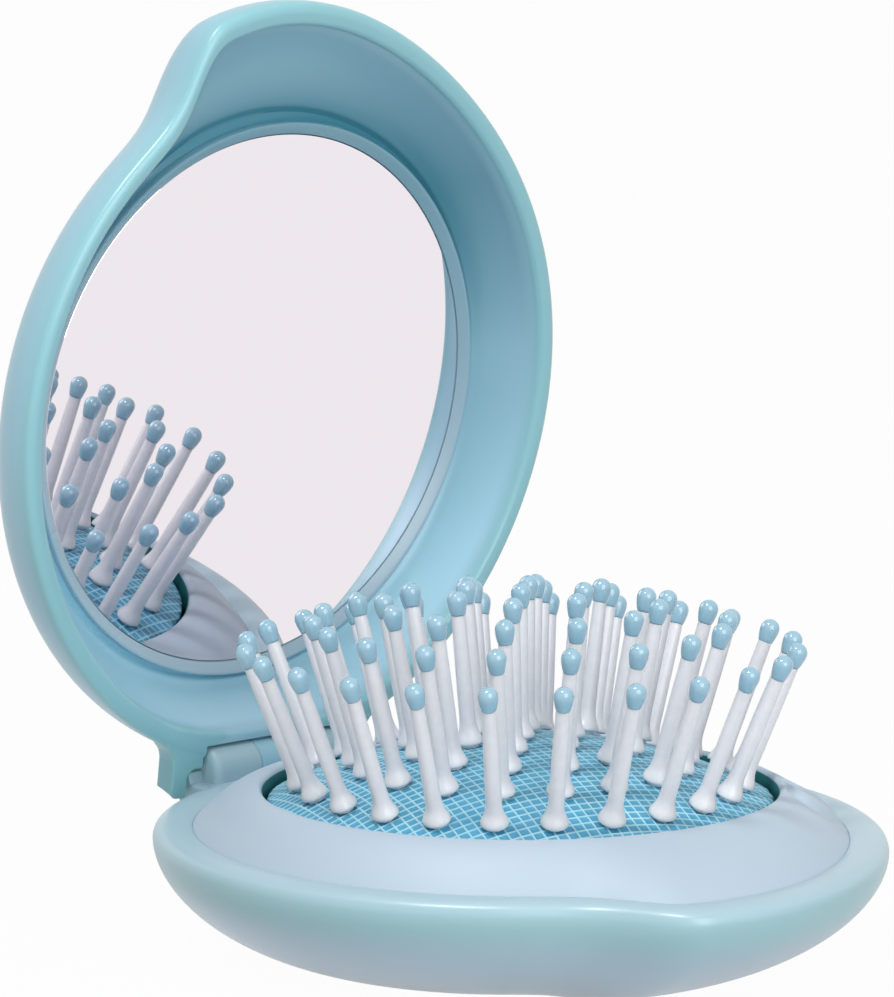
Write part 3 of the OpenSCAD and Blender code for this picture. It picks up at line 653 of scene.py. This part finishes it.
groups = {"centre": [(0, [0]), (1, range(6))], "mid": [(2, range(12))], "wide": [(3, range(18))]}
groups.update({"edge_%d" % k: [(4, range(3 * k - 3, 3 * k))] for k in range(1, 9)})
pins, tips = {}, {}
for group, rings in groups.items():
    frames, origins = (np.concatenate(part) for part in zip(*[stand(ring, which) for ring, which in rings]))
    pins[group] = make_object("bristles_" + group, *copies(*pin_shape, frames, origins), 50)
    tips[group] = make_object("drops_" + group, *copies(*tip_shape, frames, origins), 50)
print("bristles:", count_triangles(*pins.values()), "triangles, tips:", count_triangles(*tips.values()))

# %% [markdown]
# ## A small material kit
# Materials are node trees, and a few helpers keep them readable. One turns a hex colour as a painter writes
# it into the linear numbers that Blender computes with, and one adds a node with its settings and links. The
# others are the steps that nearly every finish takes: noise of a given size in millimetres, a range of
# values, a blend of two colours, and a fine relief in the gloss.

# %% Material helpers
def linear(hex_colour):
    """sRGB hex to linear light: c / 12.92 below 0.04045, else ((c + 0.055) / 1.055) to the power 2.4."""
    c = np.array([int(hex_colour[k:k + 2], 16) for k in (1, 3, 5)]) / 255
    return tuple(np.where(c <= 0.04045, c / 12.92, ((c + 0.055) / 1.055) ** 2.4)) + (1.0,)


def add_node(tree, kind, settings=None, **links):
    """Adds a node: settings go to its properties, links to its input sockets, as a value or another socket.
    A link named _1 goes to input 1, and in other names _ stands for a space."""
    node = tree.nodes.new(kind)
    for key, value in (settings or {}).items():
        setattr(node, key, value)
    for key, value in links.items():
        socket = node.inputs[int(key[1:]) if key[1:].isdigit() else key.replace("_", " ")]
        if isinstance(value, bpy.types.NodeSocket):
            tree.links.new(value, socket)
        else:
            socket.default_value = value
    return node


def new_material(name):
    """An empty material, and its tree."""
    material = bpy.data.materials.new(name)
    material.use_nodes = True
    tree = material.node_tree
    tree.nodes.clear()
    return material, tree


def close_material(tree, shader):
    """Joins the shader to the material's output."""
    add_node(tree, "ShaderNodeOutputMaterial", Surface=shader)


def surface(tree, **inputs):
    """Joins a principled shader with these inputs to the material's output."""
    close_material(tree, add_node(tree, "ShaderNodeBsdfPrincipled", **inputs).outputs[0])


def paint(obj, material):
    """Gives the object this one material."""
    obj.data.materials.clear()
    obj.data.materials.append(material)


def own_place(tree):
    """Where a point lies on the piece, in metres."""
    return add_node(tree, "ShaderNodeTexCoord").outputs["Object"]


def noise(tree, grain, detail):
    """Soft noise from 0 to 1, its features about grain millimetres across."""
    return add_node(tree, "ShaderNodeTexNoise", Vector=own_place(tree), Scale=1 / (grain * MM),
                    Detail=detail).outputs["Fac"]


def stored(tree, name):
    """The number that the mesh keeps for each point under this name."""
    return add_node(tree, "ShaderNodeAttribute", {"attribute_name": name}).outputs["Fac"]


def ranged(tree, value, low, high, first, second, curve="LINEAR"):
    """Maps low to first and high to second, held beyond both."""
    return add_node(tree, "ShaderNodeMapRange", {"interpolation_type": curve}, Value=value, From_Min=low,
                    From_Max=high, To_Min=first, To_Max=second).outputs[0]


def combined(tree, operation, first, second):
    """Two numbers put together by a math operation."""
    return add_node(tree, "ShaderNodeMath", {"operation": operation}, _0=first, _1=second).outputs[0]


def blend_colour(tree, amount, first, second):
    """The colour first where amount is 0 and second where it is 1. Each is a hex colour or the socket of
    another colour."""
    first, second = (linear(colour) if isinstance(colour, str) else colour for colour in (first, second))
    mix = add_node(tree, "ShaderNodeMix", {"data_type": "RGBA"}, Factor=amount, _6=first, _7=second)
    return mix.outputs[2]


def relief_normal(tree, height, strength, depth):
    """A normal that tilts as on a relief of this height, depth millimetres deep."""
    return add_node(tree, "ShaderNodeBump", Height=height, Strength=strength, Distance=depth * MM).outputs[0]


print("material kit ready")

# %% [markdown]
# ## Where the colours change
# The shells are glossy ABS in a pale blue, a little clear, so thin edges look greener. We store how near a
# point is to a rim and mix towards teal there. Painted shade darkens the groove round the mirror, the inside
# of the frame's guide tube and the top of the mirror's ring. The inside of the open lid is painted lighter
# near the hinge, where it faces up into the light, and darker away from it as painted shade. The rubber is
# lighter on top of its raised grid, partly from wear and partly as a painted highlight where it takes the
# light, so its lines are stored too.

# %% Store where the points lie
def store(obj, name, value):
    """Writes one number per point as a named attribute of the mesh."""
    layer = obj.data.attributes.new(name, "FLOAT", "POINT")
    layer.data.foreach_set("value", np.clip(value, 0, 1).astype(np.float32))


# The base is teal along its rim and a little on its knuckles. The frame is painted dark inside the guide
# tube as painted shade in the recess, and the mirror's ring is painted darker toward the top as painted
# shade.
x, y, z = read_points(base).T
at_hinge = (x < -38.5) & (z > RIM_Z + 0.1)
store(base, "rim_tint", np.where(at_hinge, 0.35, bump(z - 11.6, 2.6) * 0.75))
x, y, z = read_points(bezel).T
# Painted shade: dark teal inside the guide tube, below the lip.
store(bezel, "recess_tint", (np.hypot(x, y - PAD_Y) < LIP_R - 0.2) & (z < LIP_Z - 0.4))
# Painted shade: the ring is darker toward the top of the open lid.
store(trim_ring, "deep_tint", (read_points(trim_ring)[:, 2] - 45) / 35)
# The rubber's raised lines, paler partly from wear and partly as a painted highlight.
store(cushion, "ridge", np.concatenate([ridge, 0 * ridge]))

# The lid's numbers come from where its points lie when it is shut. A point is on its inside if the normal
# there points out through the opening.
x, y, z = closed_lid.T
past_seat = np.hypot(x - SEAT[0], y - SEAT[1]) - (GROOVE_R - 0.25)
on_rim = bump(z - 14.9, 1.3) * (np.hypot(x - HINGE[0], y) > 8)
on_legs = (x < -40) & (np.abs(y) > 9)
store(lid, "rim_tint", 0.8 * on_rim + 0.6 * on_legs)
normals = np.empty(len(closed_lid) * 3, np.float32)
lid.data.vertices.foreach_get("normal", normals)
out_of_lid = opened(HINGE + np.array([0, 0, -1.0])) - HINGE
facing = np.clip(normals.reshape(-1, 3) @ out_of_lid * 5, 0, 1)
interior = facing * np.clip((z - 15.8) / 1.5, 0, 1) * (z < 24) * (past_seat > 0)
# Painted light: the inside near the hinge, the bottom of the open lid, is lighter where it faces up.
store(lid, "near_tint", interior * np.clip((-4 - x) / 20, 0, 1))
# Painted shade: the inside away from the hinge, the top of the open lid, is darker.
store(lid, "deep_tint", interior * np.clip((x - 2) / 20, 0, 1)
      * (0.4 + 0.6 * bump(np.maximum(past_seat - 1.2, 0), 5)))
# Painted shade: a dark teal band in the groove by the mirror's ring, stronger toward the top.
store(lid, "groove_tint", interior * (0.15 + 0.6 * np.clip(x / 20, 0, 1))
      * bump(np.maximum(past_seat - 1, 0), 1.8))
print("share of the lid's points inside it:", round(float((interior > 0.5).mean()), 2))

# %% [markdown]
# ## The plastics
# All mouldings come from one recipe and differ in colour and gloss, and some carry painted shade and painted
# light. The lid is a little greener than the base, because light bounces inside it, and the parts that stay
# hidden under the cushion are duller.

# %% Mix the plastics
def moulded_plastic(name, body, cloudy, roughness, orange_peel, **tints):
    """Injection-moulded ABS: a body colour with a faint cloudiness from the melt, a very low orange peel in
    the gloss, and further colours where the stored numbers of those names are 1: rim colours, painted shade
    and painted light."""
    material, tree = new_material(name)
    cloud = noise(tree, 18, 2)
    colour = blend_colour(tree, ranged(tree, cloud, 0.1, 0.9, 0, 0.3, "SMOOTHSTEP"), body, cloudy)
    for attribute, tint in tints.items():
        colour = blend_colour(tree, stored(tree, attribute), colour, tint)
    surface(tree, Base_Color=colour, IOR=1.53,
            Roughness=ranged(tree, cloud, 0.1, 0.9, roughness - 0.03, roughness + 0.05, "SMOOTHSTEP"),
            Normal=relief_normal(tree, noise(tree, 1.6, 1), orange_peel, 0.1),
            Subsurface_Weight=0.1, Subsurface_Radius=(0.8, 1.0, 1.1), Subsurface_Scale=0.002)
    return material


base_plastic = moulded_plastic("abs_pale_blue_gloss", "#B4CBD9", "#AAC5D2", roughness=0.3, orange_peel=0.04,
                               rim_tint="#9ACACD")
# The lid's colours near the hinge, away from it and at the groove are painted light and painted shade.
lid_plastic = moulded_plastic("abs_pale_aqua_gloss", "#A2D0E0", "#98CAD9", roughness=0.3, orange_peel=0.04,
                              rim_tint="#8FC8CE", near_tint="#B0E0F1", deep_tint="#6A9FB1",
                              groove_tint="#2F7F93")
# The ring's darker colour toward the top is painted shade.
ring_plastic = moulded_plastic("abs_grey_blue_ring", "#A9C2D0", "#98BBC8", roughness=0.28, orange_peel=0.03,
                               deep_tint="#7AA6B6")
# The frame's dark teal inside the guide tube is painted shade.
frame_plastic = moulded_plastic("abs_ice_blue_satin", "#B9CAD8", "#B0C5D4", roughness=0.5, orange_peel=0.04,
                                recess_tint="#17706F")
inner_plastic = moulded_plastic("abs_inner_moulding", "#B7CCDA", "#9FB6C6", roughness=0.45, orange_peel=0.12)
print("plastics:", len(bpy.data.materials))

# %% [markdown]
# ## The brush side: rubber, nylon and lacquer
# Each finish is one short node tree that starts from how the material is made: what it is coloured with, what
# marks the making leaves on it, and how large they are. The rubber is a soft-touch blue, nylon is milky and
# lets light through, and the tips are a glossy lacquer.

# %% Mix the rubber, the nylon and the lacquer
def grid_rubber():
    """Moulded thermoplastic rubber: mid blue in the valleys, paler on the raised lines, partly from wear and
    partly as a painted highlight where they take the light, with a dull skin and a little dust-like
    unevenness about 6 mm across."""
    material, tree = new_material("tpr_blue_grid")
    worn = ranged(tree, noise(tree, 6, 3), 0.3, 0.7, 0.75, 1)
    # Partly painted highlight: the raised lines are paler where they take the light, and partly from wear.
    on_lines = combined(tree, "MULTIPLY", stored(tree, "ridge"), worn)
    surface(tree, Base_Color=blend_colour(tree, on_lines, "#4C9EC1", "#B2E0EC"), Roughness=0.5, IOR=1.5,
            Normal=relief_normal(tree, noise(tree, 0.25, 1), 0.25, 0.03))
    return material


def milky_nylon():
    """Natural nylon, injection moulded: white, slightly blue, and clear enough that light spreads inside.
    Fine flow marks just under 1 mm across lie in its skin."""
    material, tree = new_material("nylon_milky_white")
    marks = noise(tree, 0.9, 1)
    surface(tree, Base_Color=blend_colour(tree, marks, "#F0EEF0", "#E4E5EA"), Roughness=0.28, IOR=1.53,
            Normal=relief_normal(tree, marks, 0.15, 0.04),
            Subsurface_Weight=0.35, Subsurface_Radius=(1.0, 1.0, 1.1), Subsurface_Scale=0.0008)
    return material


def dipped_lacquer():
    """Epoxy lacquer that the tips are dipped in: sky blue, very glossy, thicker and so deeper in colour in
    some places than in others by a few per cent."""
    material, tree = new_material("epoxy_sky_blue_dip")
    surface(tree, Base_Color=blend_colour(tree, noise(tree, 2.5, 1), "#A2C7D7", "#8FBCD1"), Roughness=0.1,
            IOR=1.55, Coat_Weight=0.4, Coat_Roughness=0.04)
    return material


rubber, nylon, lacquer = grid_rubber(), milky_nylon(), dipped_lacquer()
print("finishes:", len(bpy.data.materials))

# %% [markdown]
# ## The mirror, the pins and the tape
# The mirror is silver behind clear glass, which we can leave out: a metal with next to no roughness looks the
# same. The pins of the hinge and of the lift lever are ground steel wire, and the tape that holds the mirror
# is a white foam. They are almost hidden, but somebody who takes the brush apart will see them.

# %% Mix the mirror, the steel and the foam
def silvered_glass():
    """Float glass silvered on its back: it mirrors most light, with the faint warm grey of a bathroom mirror.
    A trace of haze, some 40 mm across, keeps it from being perfect."""
    material, tree = new_material("silvered_float_glass")
    surface(tree, Base_Color=linear("#EFE9EE"), Metallic=1.0,
            Roughness=ranged(tree, noise(tree, 40, 2), 0.35, 0.7, 0, 0.018))
    return material


def ground_steel():
    """Stainless steel wire, ground round: fine rings about the pin, 0.15 mm apart, show in the roughness."""
    material, tree = new_material("stainless_pin_ground")
    along = add_node(tree, "ShaderNodeMapping", Vector=own_place(tree), Scale=(60, 1 / (0.15 * MM), 60))
    rings = add_node(tree, "ShaderNodeTexNoise", Vector=along.outputs[0], Scale=1, Detail=2)
    surface(tree, Base_Color=linear("#C8C9CC"), Metallic=1.0,
            Roughness=ranged(tree, rings.outputs["Fac"], 0.3, 0.7, 0.18, 0.36))
    return material


def adhesive_foam():
    """White polyethylene foam tape: dull, with cells of about 0.3 mm."""
    material, tree = new_material("pe_foam_tape")
    cells = add_node(tree, "ShaderNodeTexVoronoi", Vector=own_place(tree), Scale=1 / (0.3 * MM))
    far = cells.outputs["Distance"]
    surface(tree, Base_Color=blend_colour(tree, far, "#D8D8D6", "#F0F0EE"), Roughness=0.85,
            Normal=relief_normal(tree, far, 0.4, 0.1))
    return material


glass, steel, foam = silvered_glass(), ground_steel(), adhesive_foam()
print("finishes:", len(bpy.data.materials))

# %% [markdown]
# ## Dress the pieces and tie them to what moves them
# Each finished piece stands for its CAD node and rides on that node's body, so it turns or sinks with it.
# The hidden CAD pieces whose shape is right keep their shape and get their finish.

# %% Paint, replace and ride
def dress(piece, material, body, slot, *nodes):
    """Finish, body, material slot (not used) and the CAD nodes that the piece stands for."""
    paint(piece, material)
    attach(piece, body)
    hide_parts(*nodes)


dress(base, base_plastic, "base", "shell", "base_shell")
dress(bezel, frame_plastic, "base", "frame", "brush_bezel")
dress(lid, lid_plastic, "lid", "shell", "lid_shell")
dress(mirror, glass, "lid", "mirror", "mirror_glass")
dress(trim_ring, ring_plastic, "lid", "shell", "mirror_ring")
dress(cushion, rubber, "pad", "rubber", "cushion")
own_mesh(cushion)
bodies = {"centre": "lifter", "mid": "mid_ring", "wide": "wide_ring"}  # the edge groups keep their names
for group in groups:
    body = bodies.get(group, group)
    dress(pins[group], nylon, body, "bristle", "pins_" + group)
    dress(tips[group], lacquer, body, "tip", "tips_" + group)
for node, material in (("hinge_pin", steel), ("lever_pin", steel), ("mirror_pad", foam),
                       ("pad_ring", inner_plastic), ("lift_disc", inner_plastic),
                       ("lift_lever", inner_plastic)):
    paint(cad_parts[node], material)
print("pieces dressed:", 6 + 2 * len(groups))

# %% [markdown]
# ## A white room
# Something this pale needs a white ground, so that its outline stays clear. The floor and the world are
# white where they are seen directly or mirrored. For all other rays the floor is grey paper and the world
# gives a weak light from all round, so that the lamps decide the shading.

# %% Floor and world
WORLD_LEVEL = 0.29  # strength of the light from all round
FLOOR_WHITE = 0.97  # share of plain white in the floor, as the camera and the mirror see it


def seen_by(tree, *kinds):
    """1 for rays of these kinds and 0 for all others: the largest of their flags."""
    path = add_node(tree, "ShaderNodeLightPath")
    flag = path.outputs[kinds[0]]
    for kind in kinds[1:]:
        flag = combined(tree, "MAXIMUM", flag, path.outputs[kind])
    return flag


reach = 1500  # half the floor's width in millimetres
corners = np.array([(-reach, -reach, 0), (reach, -reach, 0), (reach, reach, 0), (-reach, reach, 0)], float)
floor = make_object("floor", corners, [np.array([[0, 1, 2, 3]])])
ground, tree = new_material("paper_white")
matt = add_node(tree, "ShaderNodeBsdfDiffuse", Color=linear("#CDD0D4"))
glow = add_node(tree, "ShaderNodeEmission", Strength=1.0)
amount = combined(tree, "MULTIPLY", seen_by(tree, "Is Camera Ray", "Is Glossy Ray"), FLOOR_WHITE)
close_material(tree, add_node(tree, "ShaderNodeMixShader", Fac=amount, _1=matt.outputs[0],
                              _2=glow.outputs[0]).outputs[0])
paint(floor, ground)

world = bpy.data.worlds.new("studio")
bpy.context.scene.world = world
world.use_nodes = True
tree = world.node_tree
tree.nodes.clear()
seen = seen_by(tree, "Is Camera Ray", "Is Glossy Ray", "Is Transmission Ray")
level = ranged(tree, seen, 0, 1, WORLD_LEVEL, 1)
sky = add_node(tree, "ShaderNodeBackground", Color=(1, 1, 1, 1), Strength=level)
add_node(tree, "ShaderNodeOutputWorld", Surface=sky.outputs[0])
print("floor and world:", len(tree.nodes), "nodes in the world")

# %% [markdown]
# ## Light and camera
# A main light from above makes the flat faces bright, the sides darker and the underside of the bowl darker
# still. This key lamp hangs high and a little to the left, and a broad fill lights the inside of the lid from
# the front. The camera is a long lens far back and a little above the brush, looking at it across the corner
# of the hinge.

# %% Lamps and camera
def softbox(name, place, target, size, power):
    """A square area lamp at place, facing target, all in metres and watts."""
    light = bpy.data.lights.new(name, "AREA")
    light.size, light.energy = size, power
    obj = bpy.data.objects.new(name, light)
    bpy.context.scene.collection.objects.link(obj)
    obj.location = place
    obj.rotation_euler = (Vector(target) - Vector(place)).to_track_quat("-Z", "Y").to_euler()


softbox("key", place=(0.06, -0.4, 0.85), target=(0, 0, 0.03), size=0.22, power=3.9)
softbox("fill", place=(0.74, -0.25, 0.35), target=(0, 0, 0.04), size=0.6, power=4.1)

AIM = Vector((-30.6303, 17.2454, 44.5804)) * MM
EYE = Vector((433.1936, -412.6976, 139.1367)) * MM
lens = bpy.data.cameras.new("long_lens")
lens.lens, lens.sensor_width, lens.sensor_fit = 206.852, 36, "AUTO"
lens.clip_start, lens.clip_end = 0.01, 20
camera = bpy.data.objects.new("camera", lens)
bpy.context.scene.collection.objects.link(camera)
camera.location = EYE
camera.rotation_euler = (AIM - EYE).to_track_quat("-Z", "Y").to_euler()
bpy.context.scene.camera = camera
bpy.context.scene.view_settings.view_transform = "Standard"
print("camera", round((AIM - EYE).length, 3), "m from the brush")
